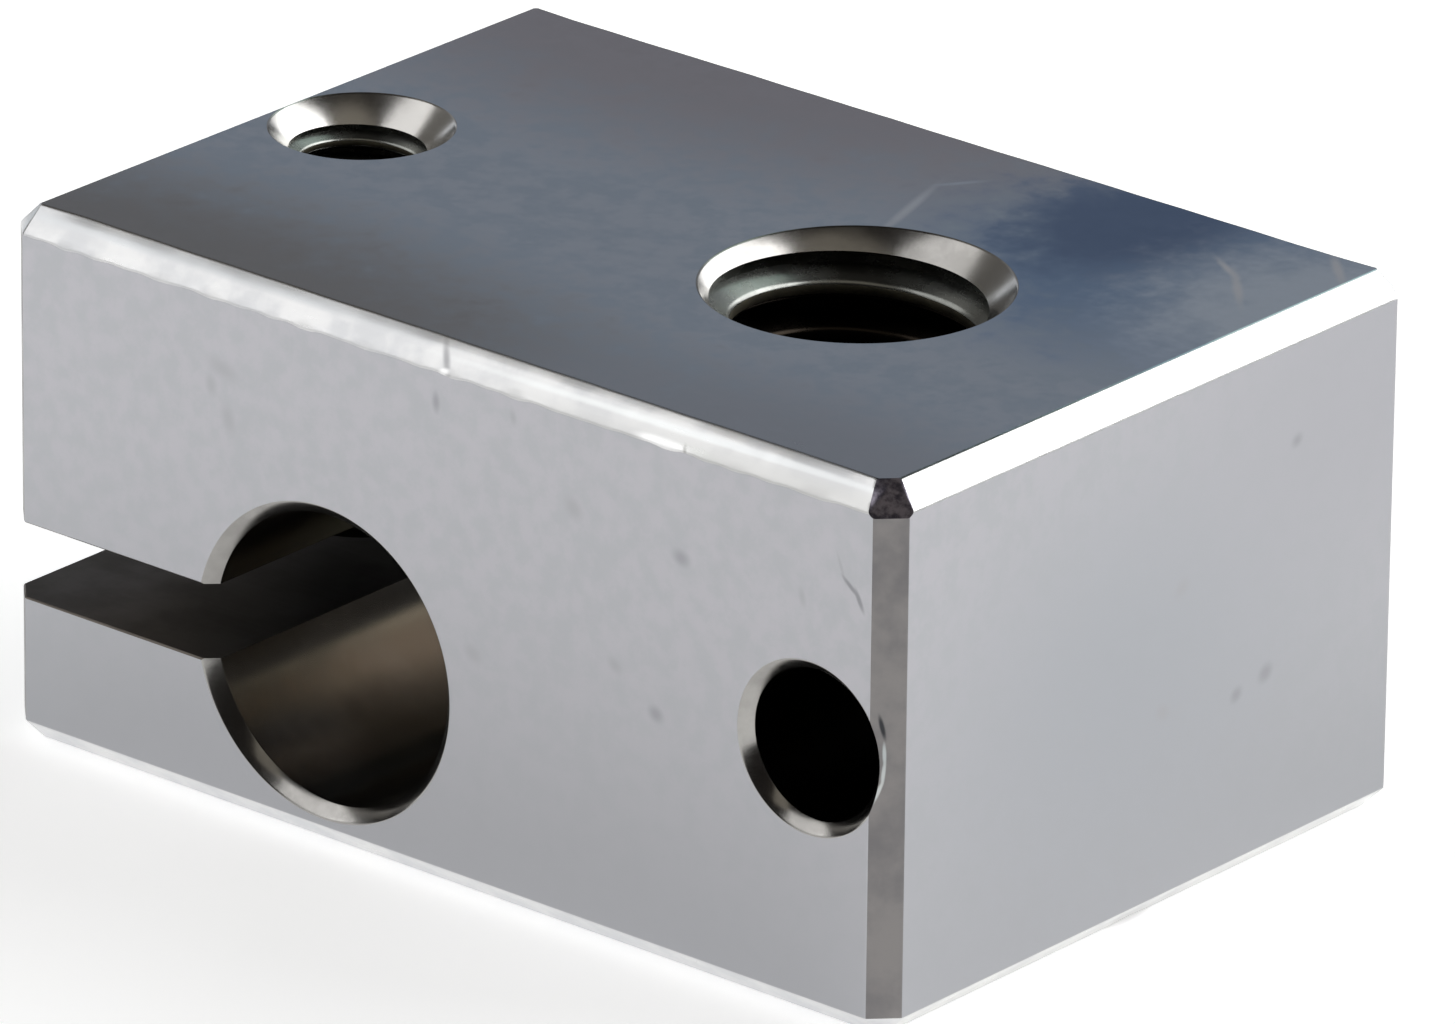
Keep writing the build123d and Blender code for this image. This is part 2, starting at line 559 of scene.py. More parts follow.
# Threads are torn a little along the groove. Painted shade darkens them further in.
PAINTED_DEPTH_SHADE = Tint("#2a2520", (0.0, 0.0, 5.75), (ENDLESS, ENDLESS, 4.5), 0.13, 0.1)
TAPPED = Finish(
    "tapped aluminium", "#a0a29e", "#8f918d", 0.6, 0.23, 0.06, (0.9, 0.9, 0.06), 0.25, tints=(PAINTED_DEPTH_SHADE,)
)
# The crests between the grooves are the drill's own wall, and rougher.
DRILLED = Finish(
    # painted shade further in, as on the threads
    "drilled aluminium", "#aaa493", "#98927f", 0.4, 0.42, 0.08, (0.9, 0.9, 0.06), 0.5, tints=(PAINTED_DEPTH_SHADE,)
)
# The slit, left dark and matt by a slitting saw that ran along the block. Painted shade
# makes it nearly black beside the bore, deep in the slit.
PAINTED_SLIT_SHADE = Tint("#080605", (-5.5, 1.0, 4.0), (4.2, 8.5, 4.0), 0.45, 0.3)
SAWN = Finish(
    "sawn aluminium", "#76706a", "#6a655f", 1.4, 0.36, 0.08, (2.6, 0.09, 2.6), 1.0, tints=(PAINTED_SLIT_SHADE,)
)


def plain(name: str, inputs: dict) -> bpy.types.Material:
    """Makes a material that is the same all over.

    Args:
        name: what it is.
        inputs: the shader's inputs that aren't left as they come.

    Returns:
        The material.
    """
    made = bpy.data.materials.new(name)
    made.use_nodes = True
    shader = made.node_tree.nodes["Principled BSDF"]
    for key, value in inputs.items():
        shader.inputs[key].default_value = value
    return made


@dataclass(frozen=True)
class Bar:
    """The bar before any hole: all twelve edges cut back to a flat.

    Attributes:
        length, width, height: the block's own size.
        flat: how far each flat cuts back the faces beside it.
        edge_break: how far the sharp edges of the flats themselves are rounded.
        step: distance between columns along the outline.
        ragged: the most that the top flats' lower edge runs down over the side.
        turned_over: how far the long top flats' upper edge is turned over towards the top.
        narrowed: how far the rim facets' ends move along the faces, as a share of the inset.
        strip: how much of the top flats hand work moves, along each of their edges.
    """

    length: float
    width: float
    height: float
    flat: float = 0.5
    edge_break: float = 0.045
    step: float = 0.16
    ragged: float = 0.05
    turned_over: float = 0.045
    narrowed: float = 0.13
    strip: float = 0.13

    def outline(self) -> tuple[np.ndarray, np.ndarray, np.ndarray]:
        """Walks round the bar, anticlockwise from above.

        The outline is a rectangle with its corners cut back by the flat, and each of its eight
        corners is rounded. A point moves inwards by adding inset times its mitre. At a corner
        that is n + t w, where n is the face's inward normal, w the way along it from the corner
        and t the true mitre at the near upright edge and narrowed at the others, whose rim
        facets so come nearly to a point. Along a side it goes evenly from one to the next.

        Returns:
            The points, their mitres and their place along the outline, from 0 to 1.
        """
        x, y, cut = self.length / 2, self.width / 2, self.flat
        quarter = np.array([[x - cut, -y], [x, -y + cut], [x, y - cut], [x - cut, y]])
        corners = np.concatenate([quarter, -quarter])
        side = np.roll(corners, -1, axis=0) - corners
        reach = np.linalg.norm(side, axis=1)
        way = side / reach[:, None]
        inward = np.stack([-way[:, 1], way[:, 0]], axis=1)
        number = np.arange(len(corners))[:, None]
        from_face = number % 2 == 0
        normal = np.where(from_face, np.roll(inward, 1, axis=0), inward)
        along = np.where(from_face, -np.roll(way, 1, axis=0), way)
        mitre = normal + np.where(number < 2, MITRE, self.narrowed) * along
        places, mitres = [], []
        for k in range(len(corners)):
            hops = 2 * self.edge_break * np.stack([-way[k - 1], 0 * way[k], way[k]])
            places.append(rounded(corners[k] + hops, self.edge_break)[1:-1])
            onward = (k + 1) % len(corners)
            before = self.edge_break / reach[k - 1] * (mitre[k - 1] - mitre[k])
            after = self.edge_break / reach[k] * (mitre[onward] - mitre[k])
            mitres.append(mitre[k] + np.stack([before, (before + after) / 2, after]))
            count = max(2, math.ceil(reach[k] / self.step))
            start = self.edge_break / reach[k]
            part = start + (1 - 2 * start) * (np.arange(1, count) / count)[:, None]
            places.append(corners[k] + part * side[k])
            mitres.append(mitre[k] + part * (mitre[onward] - mitre[k]))
        outline = np.concatenate(places)
        hop = np.linalg.norm(np.roll(outline, -1, axis=0) - outline, axis=1)
        share = np.concatenate([[0.0], np.cumsum(hop)]) / hop.sum()
        return outline, np.concatenate(mitres), share[:-1]

    def surface(self) -> Surface:
        """Carries the vertical profile round the outline.

        The profile goes from inside the lower face, out along the lower flat, up the side, in
        along the upper flat and onto the upper face, with its corners rounded. Hand work moves
        only a thin strip along each edge of the upper flat, so the flat itself stays plane. The
        lower strip runs unevenly down over the side: by ragged times a wavering share from 0 to
        1, and a fifth as far on the short sides. The upper one leans over to the top on the long
        sides only.

        Returns:
            The bar's surface, in the order lower face, flat, side, flat, upper face.
        """
        outline, mitres, share = self.outline()
        # The lip on the face is a little longer than the rounding of its corner.
        lip = 1.3 * self.edge_break
        clear = np.clip(self.length / 2 - self.flat - np.abs(outline[:, 0]), 0, 1)
        calm = np.zeros_like(share)
        uneven = waver(share, (41, 59, 83, 97), 1.0, 3)
        down = self.ragged * (0.5 + 0.5 * np.clip(1.6 * uneven, -1, 1)) * (0.2 + 0.8 * clear)
        over = (self.turned_over + waver(share, (8, 18, 41), 0.015, 8)) * clear
        strip, inner = self.strip + calm, self.flat - self.strip + calm
        line = np.array(
            [
                [self.flat + lip + calm, calm],
                [self.flat + calm, calm],
                [calm, self.flat + calm],
                [calm, self.height - self.flat - down],
                [strip, self.height - self.flat + strip],
                [inner, self.height - self.flat + inner],
                [self.flat + over, self.height + calm],
                [self.flat + lip + over, self.height + calm],
            ]
        ).transpose(0, 2, 1)
        profile = rounded(line, self.edge_break, 3)
        inset, height = profile[..., 0], profile[..., 1]
        flat_place = outline[None] + inset[..., None] * mitres[None]
        points = np.concatenate([flat_place, height[..., None]], axis=-1)
        return Surface(points, np.zeros(len(points) - 1, dtype=int))

    def build(self) -> bpy.types.Object:
        """Makes the bar and gives each face the finish of the way it looks.

        Returns:
            The bar's object.
        """
        kinds = [MILLED, RUBBED, FLAT_ALONG, FLAT_ACROSS, FLAT_UPRIGHT]
        bar = self.surface().mesh("heater_block_finished", [kind.material() for kind in kinds])
        count = len(bar.data.polygons)
        normal = np.empty(count * 3, np.float32)
        bar.data.polygons.foreach_get("normal", normal)
        across, deep, up = np.abs(normal.reshape(-1, 3).T)
        level, upright = up > 0.9, up < 0.3
        is_top = level & (normal[2::3] > 0)
        even = np.abs(across - deep) < 0.3
        choice = np.select(
            [is_top, level, upright & even, upright, even | (deep > across)],
            [1, 0, 4, 0, 2],
            default=3,
        )
        bar.data.polygons.foreach_set("material_index", choice.astype(np.int32))
        return bar


@dataclass(frozen=True)
class Mouth:
    """One end of a hole, opened at 45 degrees.

    Attributes:
        face: where the block's face lies along the hole.
        outwards: 1 or -1, the way out of the block along the hole.
        radius: of the opening on the face.
    """

    face: float
    outwards: int
    radius: float

    def profile(self, bore_radius: float, edge_break: float) -> np.ndarray:
        """Gives the mouth as radius and place along the hole, from the wall outwards.

        The wall turns into the 45 degree mouth, and the mouth's rim is broken by a strip that
        leans half as much, which goes on past the face into the air.

        Args:
            bore_radius: of the wall behind the mouth.
            edge_break: how far the rim's break reaches along the face.

        Returns:
            Three points.
        """
        lean = math.sqrt(0.5) * edge_break
        past = 0.3
        run = past * (edge_break + lean) / lean
        radii = np.array([bore_radius, self.radius - lean, self.radius + edge_break + run])
        depth = np.array([self.radius - bore_radius, lean, -past])
        return np.stack([radii, self.face - self.outwards * depth], axis=1)


@dataclass(frozen=True)
class Drill:
    """A round hole, as the space that its drill, reamer and countersink sweep.

    Attributes:
        name: what the hole is.
        centre: a point on its axis; only the two coordinates square to the axis count.
        run: the way it runs.
        radius: of its wall.
        ends: a Mouth where it opens on a face, or a place along it where it meets a cavity.
        wall: the finish of its wall.
        edge_break: how far its rims are broken.
        columns: flat strips round it.
    """

    name: str
    centre: Point
    run: Run
    radius: float
    ends: tuple[Mouth | float, Mouth | float]
    wall: Finish
    edge_break: float = 0.018
    columns: int = 128

    def end_profile(self, end: Mouth | float) -> np.ndarray:
        """Gives one end's points from the wall outwards, or the wall's last point in a cavity."""
        if isinstance(end, Mouth):
            return end.profile(self.radius, self.edge_break)
        return np.array([[self.radius, end]])

    def tool(self) -> bpy.types.Object:
        """Makes the swept space: the profile turned once round the hole's axis.

        Returns:
            The tool's object. Its sloping strips are countersunk and the rest is its wall.
        """
        low, high = (self.end_profile(end) for end in self.ends)
        line = rounded(np.concatenate([low[::-1], high]), self.edge_break, 1)
        angle = np.linspace(0, 2 * math.pi, self.columns, endpoint=False)
        radii, place = line[:, 0, None], line[:, 1, None]
        turned = np.stack([radii * np.cos(angle), radii * np.sin(angle), place + 0 * angle], axis=-1)
        points = np.roll(turned, self.run.value, axis=-1)
        square = np.roll(np.array([1.0, 1.0, 0.0]), self.run.value)
        points = points + np.array(self.centre) * square
        sloped = (np.abs(np.diff(line[:, 0])) > 1e-6).astype(int)
        materials = [self.wall.material(), COUNTERSUNK.material()]
        return Surface(points, sloped).mesh(self.name, materials)


@dataclass(frozen=True)
class Tap:
    """A right-hand thread, as the space that its tap sweeps.

    Attributes:
        name: what the thread is.
        centre: the axis's x and y.
        tapping_radius: of the drilled hole, where the crests are.
        root_radius: of the groove's bottom.
        pitch: rise in one turn.
        bottom, top: where the full groove ends; past them it fades out in the air.
        fade: the height in which it fades out.
        groove_angle: azimuth, in degrees, at which one groove's middle is at groove_height.
        groove_height: that height.
        columns: flat strips round it.
    """

    name: str
    centre: tuple[float, float]
    tapping_radius: float
    root_radius: float
    pitch: float
    bottom: float
    top: float
    fade: float
    groove_angle: float = 0.0
    groove_height: float = 0.0
    columns: int = 128

    def tooth(self) -> np.ndarray:
        """Gives one pitch of the groove as height from its middle and radius.

        The root is a flat of a fifth of the pitch. Its flanks open at 60 degrees to the crest,
        just inside the drilled wall. The root's corners are sharp and the crest's worn round.

        Returns:
            The points of one pitch, the last of which would repeat the first and is left out.
        """
        crest = self.tapping_radius - 0.02 * self.pitch
        root_half = self.pitch / 10
        crest_half = root_half + (self.root_radius - crest) * math.tan(math.radians(30))
        half = np.array([root_half, crest_half, self.pitch / 2])
        heights = np.concatenate([-half[::-1], half])
        radii = np.array([crest, crest, self.root_radius, self.root_radius, crest, crest])
        corners = np.stack([heights, radii], axis=1)
        crests = [rounded(side, 0.12 * self.pitch, 4) for side in (corners[:3], corners[3:])]
        return np.concatenate(crests)[:-1]

    def tool(self) -> bpy.types.Object:
        """Makes the swept space: the tooth repeated up the axis and twisted up one pitch a turn.

        At angle a a point of the tooth at height s lies at s + pitch a / 2 pi. So the column
        after the last is the first one, a pitch further up, and each end is a loop with one
        upright step, closed by a fan to a point on the axis.

        Returns:
            The tool's object.
        """
        tooth = self.tooth()
        per_pitch = len(tooth)
        offset = self.groove_height - self.pitch * self.groove_angle / 360
        first = math.floor((self.bottom - self.fade - offset) / self.pitch) - 1
        last = math.ceil((self.top + self.fade - offset) / self.pitch) + 1
        turn = offset + self.pitch * np.arange(first, last)
        rise = (turn[:, None] + tooth[None, :, 0]).ravel()
        radii = np.tile(tooth[:, 1], len(turn))
        angle = np.linspace(0, 2 * math.pi, self.columns, endpoint=False)
        height = rise[:, None] + self.pitch * angle / (2 * math.pi)
        outside = np.maximum(self.bottom - height, height - self.top) / self.fade
        strength = np.clip(1 - outside, 0, 1)
        crest = tooth[0, 1]
        radius = crest + (radii[:, None] - crest) * strength
        shape = [
            self.centre[0] + radius * np.cos(angle),
            self.centre[1] + radius * np.sin(angle),
            height,
        ]
        rows = len(rise)
        index = np.arange(rows * self.columns).reshape(rows, self.columns)
        seam = quads(index[:rows - per_pitch, -1], index[per_pitch:, 0])
        below = np.concatenate([index[0], index[per_pitch:0:-1, 0]])
        above = np.concatenate([index[-1], index[-2: -2 - per_pitch: -1, -1]])
        low_tip, high_tip = rows * self.columns, rows * self.columns + 1
        fans = [
            np.stack([np.roll(below, -1), below, np.full(len(below), low_tip)], axis=-1),
            np.stack([above, np.roll(above, -1), np.full(len(above), high_tip)], axis=-1),
        ]
        ends = (height.min() - self.pitch, height.max() + self.pitch)
        tips = [[*self.centre, end] for end in ends]
        points = np.concatenate([np.stack(shape, axis=-1).reshape(-1, 3), tips])
        faces = quads(index[:, :-1], index[:, 1:]) + seam + fans[0].tolist() + fans[1].tolist()
        return make_object(self.name, points, faces, [TAPPED.material()])


@dataclass(frozen=True)
class Saw:
    """The slit from the clamping end into the heater bore, with its edges broken.

    Attributes:
        bar: the bar that it runs into.
        end: how far it goes, which is inside the bore.
        middle: its height above the underside.
        opening: its own height.
        edge_break: how far its edges are broken.
    """

    bar: Bar
    end: float
    middle: float
    opening: float
    edge_break: float = 0.035

    def tool(self) -> bpy.types.Object:
        """Makes the swept space: a slab whose rim flares at 45 degrees just inside the outline.

        The path is the outline from the slit's inner end round the clamping end and back. The
        section carried along it is the flare: half the opening at edge_break inside the
        outline, and as much higher as it is further out.

        Returns:
            The tool's object.
        """
        x, y, cut, past = -self.bar.length / 2, self.bar.width / 2, self.bar.flat, 0.5
        near_path = np.array([[self.end, -y], [x + cut, -y], [x, cut - y]])
        near_out = np.array([[0, -1], [-MITRE, -1], [-1, -MITRE]])
        path, out = (np.concatenate([near, near[::-1] * (1, -1)]) for near in (near_path, near_out))
        spread = np.array([past, -self.edge_break, -self.edge_break, past])
        half = self.opening / 2
        tall = half + past + self.edge_break
        height = self.middle + np.array([-tall, -half, half, tall])
        plan = path[None] + spread[:, None, None] * out[None]
        points = np.concatenate([plan, np.broadcast_to(height[:, None, None], (4, 6, 1))], axis=-1)
        index = np.arange(24).reshape(4, 6)
        strips = quads(index[[1, 3, 0]].T, index[[0, 2, 3]].T)
        inner_end = index[[0, 1, 1, 0, 3, 2, 2, 3], [0, 0, 5, 5, 5, 5, 0, 0]]
        panels = [index[1].tolist(), index[2, ::-1].tolist(), inner_end.tolist()]
        faces = strips + panels
        return make_object("slitting_saw", points.reshape(-1, 3), faces, [SAWN.material()])


@dataclass(frozen=True)
class FileStroke:
    """A file's one stroke over a corner, which leaves a facet.

    Attributes:
        facet: a point of the facet.
        out: the way out of the block, square to the facet.
        size: of the file's end, larger than the facet.
    """

    facet: Point
    out: Point
    size: float = 3.0

    def tool(self) -> bpy.types.Object:
        """Makes the swept space: a block that stands on the facet.

        Returns:
            The tool's object.
        """
        out = np.array(self.out) / np.linalg.norm(self.out)
        right = np.cross((0.0, 0.0, 1.0), out)
        right /= np.linalg.norm(right)
        up = np.cross(out, right)
        corners = self.size / 2 * np.array([-right - up, right - up, right + up, up - right])
        points = np.array(self.facet) + np.stack([corners, corners + self.size * out])
        return Surface(points, np.zeros(1, dtype=int)).mesh("file_stroke", [CORNER.material()])


def volume(mesh: bpy.types.Mesh) -> float:
    """Gives the volume that a closed mesh encloses, in cubic millimetres."""
    form = bmesh.new()
    form.from_mesh(mesh)
    enclosed = form.calc_volume(signed=True) / MM**3
    form.free()
    return enclosed


def heal(mesh: bpy.types.Mesh, reach: float = 2e-8) -> None:
    """Merges points that rounding to single precision has split, so that the next cut is clean.

    Args:
        mesh: a closed mesh.
        reach: the largest distance between such points, in metres.
    """
    form = bmesh.new()
    form.from_mesh(mesh)
    bmesh.ops.remove_doubles(form, verts=form.verts, dist=reach)
    bmesh.ops.dissolve_degenerate(form, edges=form.edges, dist=reach)
    form.to_mesh(mesh)
    form.free()


def cut(body: bpy.types.Object, tool: bpy.types.Object, most: float = 1.0) -> None:
    """Takes a tool's space out of a body and deletes the tool.

    Args:
        body: what is cut; the cut surface takes the tool's finish.
        tool: the swept space.
        most: the largest share of that space that can be metal.

    Raises:
        RuntimeError: if the body lost nothing or more than that share.
    """
    step = body.modifiers.new(tool.name, "BOOLEAN")
    step.operation = "DIFFERENCE"
    step.solver = "EXACT"
    step.material_mode = "TRANSFER"
    step.object = tool
    whole = body.data
    seen = body.evaluated_get(bpy.context.evaluated_depsgraph_get())
    body.data = bpy.data.meshes.new_from_object(seen)
    body.modifiers.clear()
    heal(body.data)
    lost, space = volume(whole) - volume(body.data), volume(tool.data)
    if not 0 < lost < most * space:
        raise RuntimeError(f"{tool.name} took {lost:.4f} of its {space:.4f} mm3")
    LOG.info("%s: took %.4f mm3, %d faces on the block", tool.name, lost, len(body.data.polygons))
    bpy.data.meshes.remove(whole)
    bpy.data.objects.remove(tool)


@dataclass
class HeaterBlock:
    """The whole block, in the order in which it is made.

    Attributes:
        low, high: its corners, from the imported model.
        mounts: its holes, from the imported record.
        thread_depth: how deep a tap cuts, as a share of the pitch.
        filed_off: how much the file took off the near corner's own facet.
    """

    low: np.ndarray
    high: np.ndarray
    mounts: dict[str, dict]
    thread_depth: float = 0.46
    filed_off: float = 0.064

    def place(self, name: str) -> np.ndarray:
        """Gives a hole's middle in millimetres."""
        return np.array(self.mounts[name]["pos_m"]) / MM

    def radius(self, name: str) -> float:
        """Gives the radius of a hole's wall."""
        return self.mounts[name]["dims"]["r_mm"]

    def wall(self, name: str, axis: int) -> tuple[float, float]:
        """Gives where a hole's straight wall begins and ends along an axis.

        Args:
            name: the hole.
            axis: 1 for y and 2 for z.

        Returns:
            The two places.
        """
        middle, half = self.place(name)[axis], self.mounts[name]["dims"]["length_mm"] / 2
        return middle - half, middle + half

    def drill(self, name: str, wall: Finish, cavity: float | None = None, columns: int = 96) -> Drill:
        """Works out a hole's tool from its mount.

        A wall that stops short of a face has a 45 degree mouth there, as wide as it is short.

        Args:
            name: the mount.
            wall: the finish of the hole's wall.
            cavity: how far the tool runs into a cavity, where the hole meets one.
            columns: flat strips round it.

        Returns:
            The tool.
        """
        run, axis = (Run.UPRIGHT, 2) if abs(self.mounts[name]["axis"][2]) > 0.5 else (Run.ACROSS, 1)
        radius, (start, end) = self.radius(name), self.wall(name, axis)
        first = Mouth(self.low[axis], -1, radius + start - self.low[axis])
        last = Mouth(self.high[axis], 1, radius + self.high[axis] - end)
        if cavity is not None and cavity < start:
            first = cavity
        if cavity is not None and cavity > end:
            last = cavity
        centre = tuple(self.place(name).tolist())
        return Drill(name, centre, run, radius, (first, last), wall, columns=columns)

    def tap(self, name: str, pitch: float, bottom: float, top: float, **more: float) -> Tap:
        """Works out a thread's tool from its mount.

        Args:
            name: the mount, which gives the tapping radius.
            pitch: of the thread.
            bottom, top: where the full groove ends.
            **more: what the Tap takes besides.

        Returns:
            The tool.
        """
        x, y, _ = self.place(name).tolist()
        radius = self.radius(name)
        root = radius + pitch * self.thread_depth
        return Tap(f"{name}_tap", (x, y), radius, root, pitch, bottom, top, **more)

    def build(self) -> bpy.types.Object:
        """Makes the bar, files its near corner, drills and reams it, slits it and taps it.

        Returns:
            The finished block.
        """
        bar = Bar(*(self.high - self.low).tolist())
        block = bar.build()
        LOG.info("bar: %d faces", len(block.data.polygons))
        out = np.array([0.5, -0.5, math.sqrt(0.5)])
        near = bar.flat * np.array([-0.5, 0.5, -1.0])
        corner = np.array([self.high[0], self.low[1], self.high[2]]) + near
        stroke = FileStroke(tuple(corner - self.filed_off * out), tuple(out))
        cut(block, stroke.tool())
        heater, sensor = self.place("heater_bore"), self.place("sensor_bore")
        jaw_top = self.wall("clamp_screw_thread", 2)[0]
        jaw_bottom = self.wall("clamp_screw_clear_hole", 2)[1]
        sensor_floor = self.wall("sensor_set_screw_thread", 2)[1]
        for hole in (
            self.drill("heater_bore", REAMED, columns=160),
            self.drill("sensor_bore", REAMED, columns=120),
            self.drill("nozzle_thread", DRILLED, columns=144),
            self.drill("clamp_screw_thread", DRILLED, heater[2]),
            self.drill("clamp_screw_clear_hole", REAMED, heater[2]),
            self.drill("sensor_set_screw_thread", DRILLED, sensor[2]),
        ):
            cut(block, hole.tool())
        cut(block, Saw(bar, heater[0], heater[2], jaw_top - jaw_bottom).tool())
        bottom, top = self.low[2], self.high[2]
        # The photo shows where each groove meets its mouth: at what azimuth and how deep.
        coarse = self.tap(
            "nozzle_thread", COARSE, bottom, top, fade=0.4, groove_angle=130, groove_height=top - 0.61
        )
        clamp = self.tap(
            "clamp_screw_thread", FINE, jaw_top, top, fade=0.3, groove_angle=130, groove_height=top - 0.6
        )
        fixing = self.tap("sensor_set_screw_thread", FINE, bottom, sensor_floor + 0.1, fade=0.3)
        for thread in (clamp, fixing, coarse):
            cut(block, thread.tool(), most=0.3)
        return block

    def finish(self, block: bpy.types.Object) -> None:
        """Smooths the block's normals and tells the frame what it stands for.

        Args:
            block: the cut block.
        """
        form = bmesh.new()
        form.from_mesh(block.data)
        bmesh.ops.dissolve_degenerate(form, dist=SLIVER, edges=form.edges)
        bmesh.ops.dissolve_limit(
            form, angle_limit=FLAT_ENOUGH, verts=form.verts, edges=form.edges, delimit={"MATERIAL"}
        )
        form.to_mesh(block.data)
        form.free()
        block.data.shade_smooth()
        block.data.set_sharp_from_angle(angle=SHARP)
        even = block.modifiers.new("flat faces stay flat", "WEIGHTED_NORMAL")
        even.keep_sharp = True
        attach(block, "root")
        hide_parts(NODE)


def direction(azimuth: float, elevation: float) -> Vector:
    """Gives the way from the block to something seen at an azimuth and elevation.

    Args:
        azimuth: degrees, 0 in front of the block and 90 at its plain end.
        elevation: degrees above the horizon.

    Returns:
        A vector one long: (sin a cos e, -cos a cos e, sin e).
    """
    a, e = math.radians(azimuth), math.radians(elevation)
    return Vector((math.sin(a) * math.cos(e), -math.cos(a) * math.cos(e), math.sin(e)))


def facing(target: Vector, way: Vector, distance: float, roll: float) -> Matrix:
    """Places a lamp or camera, which shines or looks along its own downward axis.

    Args:
        target: the point that it faces, in metres.
        way: from that point to where it stands, one long.
        distance: from the target, in metres.
        roll: degrees by which it is turned about that line, from upright.

    Returns:
        Its place and turn in the world.
    """
    upright = way.to_track_quat("Z", "Y").to_matrix().to_4x4()
    turned = upright @ Matrix.Rotation(math.radians(roll), 4, "Z")
    return Matrix.Translation(target + way * distance) @ turned


@dataclass(frozen=True)
class SoftBox:
    """A soft studio lamp that faces the block.

    Attributes:
        name: the lamp's name.
        azimuth, elevation: where it stands, in degrees.
        distance: from the block, in metres.
        width, height: of its front, in metres.
        brightness: radiance of its front, where 1 shows as white.
        colour: of its light.
        roll: degrees by which it is turned about the line to the block.
    """

    name: str
    azimuth: float
    elevation: float
    distance: float
    width: float
    height: float
    brightness: float
    colour: str = "#ffffff"
    roll: float = 0.0

    def build(self, target: Vector) -> None:
        """Makes the lamp. Its power is pi times its area times its brightness.

        Args:
            target: the point that it faces.
        """
        lamp = bpy.data.lights.new(self.name, "AREA")
        lamp.shape = "RECTANGLE"
        lamp.size, lamp.size_y = self.width, self.height
        lamp.energy = math.pi * self.width * self.height * self.brightness
        lamp.color = linear(self.colour)[:3]
        holder = bpy.data.objects.new(self.name, lamp)
        way = direction(self.azimuth, self.elevation)
        holder.matrix_world = facing(target, way, self.distance, self.roll)
        bpy.context.scene.collection.objects.link(holder)


@dataclass(frozen=True)
class PhotoCamera:
    """The camera that sees the block as the photo does.

    Attributes:
        azimuth, elevation, roll: of the view, in degrees.
        distance: from the point looked at, in metres.
        aim: that point, in millimetres.
        lens: focal length in millimetres, for a sensor 36 mm wide.
    """

    azimuth: float = 40.176
    elevation: float = 22.316
    roll: float = 0.629
    distance: float = 0.30155
    aim: Point = (0.405, 0.274, 5.623)
    lens: float = 374.92

    def build(self) -> None:
        """Makes the camera and hands it to the scene."""
        data = bpy.data.cameras.new("camera")
        data.sensor_width = 36.0
        data.lens = self.lens
        data.clip_start, data.clip_end = 0.01, 3.0
        camera = bpy.data.objects.new("camera", data)
        back = direction(self.azimuth, self.elevation)
        camera.matrix_world = facing(Vector(self.aim) * MM, back, self.distance, self.roll)
        bpy.context.scene.collection.objects.link(camera)
        bpy.context.scene.camera = camera


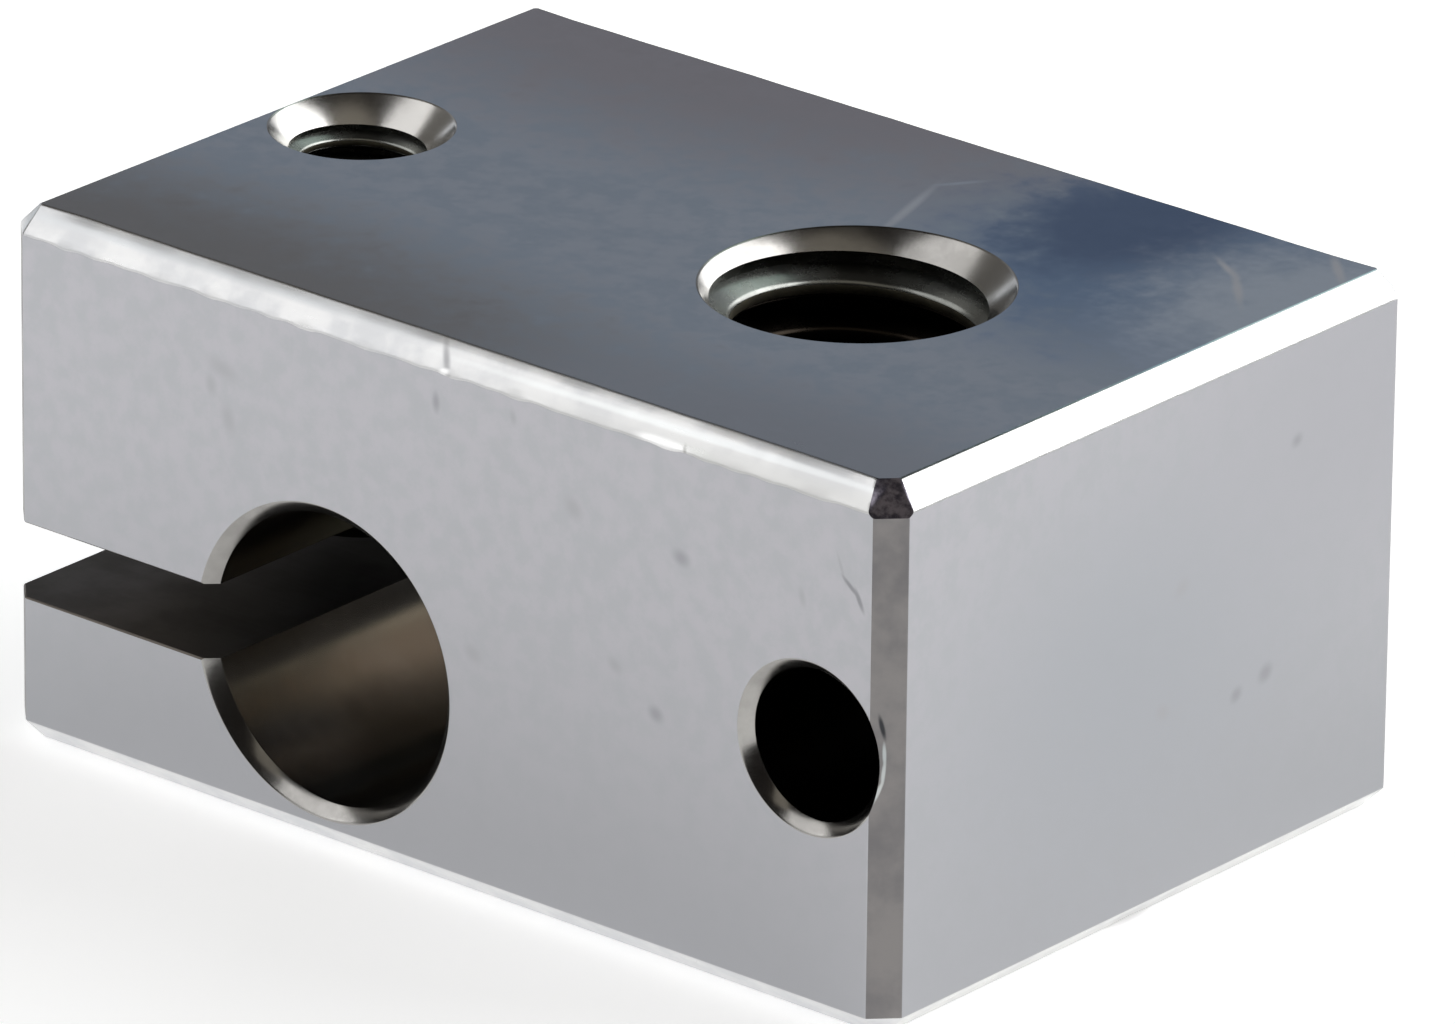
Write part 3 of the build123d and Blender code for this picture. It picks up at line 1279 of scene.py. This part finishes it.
@dataclass(frozen=True)
class Studio:
    """A pale table, soft lamps and a dim room.

    Attributes:
        table_radius: of the round table top, in metres.
        table_colour: its colour.
        table_glow: how much it shines from below, as a light table does.
        pad: length and width, in millimetres, of the black pad that keeps that glow out of the holes.
        screen: azimuth in degrees, and distance, width and height in millimetres, of a low black
            screen behind the slit, which the heater bore mirrors.
        room: brightness of the room round it.
        room_colour: its colour.
    """

    table_radius: float = 1.0
    table_colour: str = "#f2f2f2"
    table_glow: float = 0.62
    pad: tuple[float, float] = (20.0, 13.0)
    screen: tuple[float, float, float, float] = (-135.0, 75.0, 70.0, 22.0)
    room: float = 0.018
    room_colour: str = "#fff4e8"

    def table(self) -> None:
        """Makes the table top: a round plate just under the block, a full turn by eight rings."""
        rings, spokes, drop = 8, 96, 2e-6
        angle = np.linspace(0, 2 * math.pi, spokes, endpoint=False)
        radii = np.geomspace(0.02, self.table_radius, rings)[:, None]
        flat = [radii * np.cos(angle), radii * np.sin(angle), np.full((rings, spokes), -drop)]
        points = np.stack(flat, axis=-1) / MM
        index = np.arange(rings * spokes).reshape(rings, spokes)
        faces = quads(np.roll(index, -1, axis=1), index) + [index[0].tolist()]
        inputs = {
            "Base Color": linear(self.table_colour),
            "Roughness": 0.9,
            "Specular IOR Level": 0.2,
            "Emission Color": (1.0, 1.0, 1.0, 1.0),
            "Emission Strength": self.table_glow,
        }
        made = make_object("table", points.reshape(-1, 3), faces, [plain("matt white table", inputs)])

    def black_cards(self) -> None:
        """Makes the pad under the block and the screen that only reflections see."""
        x, y = self.pad[0] / 2, self.pad[1] / 2
        flat = np.insert(np.array([[-x, -y], [x, -y], [x, y], [-x, y]]), 2, -0.001, axis=1)
        azimuth, distance, width, height = self.screen
        way = np.array(direction(azimuth, 0.0))
        middle = distance * way
        aside = width / 2 * np.cross(way, (0, 0, 1))
        up = np.array([0, 0, height])
        low = np.array([middle - aside, middle + aside])
        standing = np.concatenate([low, low[::-1] + up])
        felt = plain("black felt", {"Base Color": linear("#101010"), "Roughness": 1.0})
        pad = make_object("pad", flat, [[0, 1, 2, 3]], [felt])
        screen = make_object("screen", standing, [[0, 1, 2, 3]], [felt])
        screen.visible_camera = screen.visible_diffuse = screen.visible_shadow = False

    def build(self, target: Vector) -> None:
        """Makes the table, the lamps and the room.

        Args:
            target: the middle of the block, which the lamps face.
        """
        self.table()
        self.black_cards()
        for lamp in (
            SoftBox("back window", 157.5, 26.7, 0.8, 1.32, 0.45, 3.35, roll=-41.0),
            SoftBox("front window", -49.4, 47.6, 0.81, 0.71, 0.41, 1.36, roll=21.7),
            SoftBox("green wall", 184.0, 42.0, 0.9, 0.52, 0.50, 0.75, "#d8efe8"),
            SoftBox("far wall", -140.0, 22.0, 0.95, 1.10, 0.50, 0.25, "#eaf0fc"),
            SoftBox("side wall", -98.0, 36.0, 0.9, 0.60, 0.86, 0.19, "#ece9e2"),
            SoftBox("ceiling", 56.0, 65.0, 0.8, 0.85, 0.32, 0.30, "#f4ecdc"),
            SoftBox("low front wall", -42.0, 17.0, 0.9, 0.60, 0.56, 0.90),
            SoftBox("low back wall", 134.0, 10.0, 0.9, 0.50, 0.30, 0.47),
            SoftBox("low side wall", -106.0, 4.0, 0.9, 0.56, 0.30, 0.85, "#f0f6fc"),
        ):
            lamp.build(target)
        world = bpy.data.worlds.new("room")
        world.use_nodes = True
        shine = world.node_tree.nodes["Background"]
        shine.inputs["Color"].default_value = linear(self.room_colour)
        shine.inputs["Strength"].default_value = self.room
        scene = bpy.context.scene
        scene.world = world
        scene.view_settings.view_transform = "Standard"


def main() -> None:
    """Builds the block, then the studio."""
    logging.basicConfig(level=logging.INFO, format="%(message)s")
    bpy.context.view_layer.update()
    low, high = (np.array(corner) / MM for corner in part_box(NODE))
    mounts = {mount["name"]: mount for mount in frame["record"]["mounts"]}
    heater_block = HeaterBlock(low, high, mounts)
    block = heater_block.build()
    heater_block.finish(block)
    Studio().build(Vector(((low + high) / 2 * MM).tolist()))
    PhotoCamera().build()


if __name__ == "__main__":
    main()
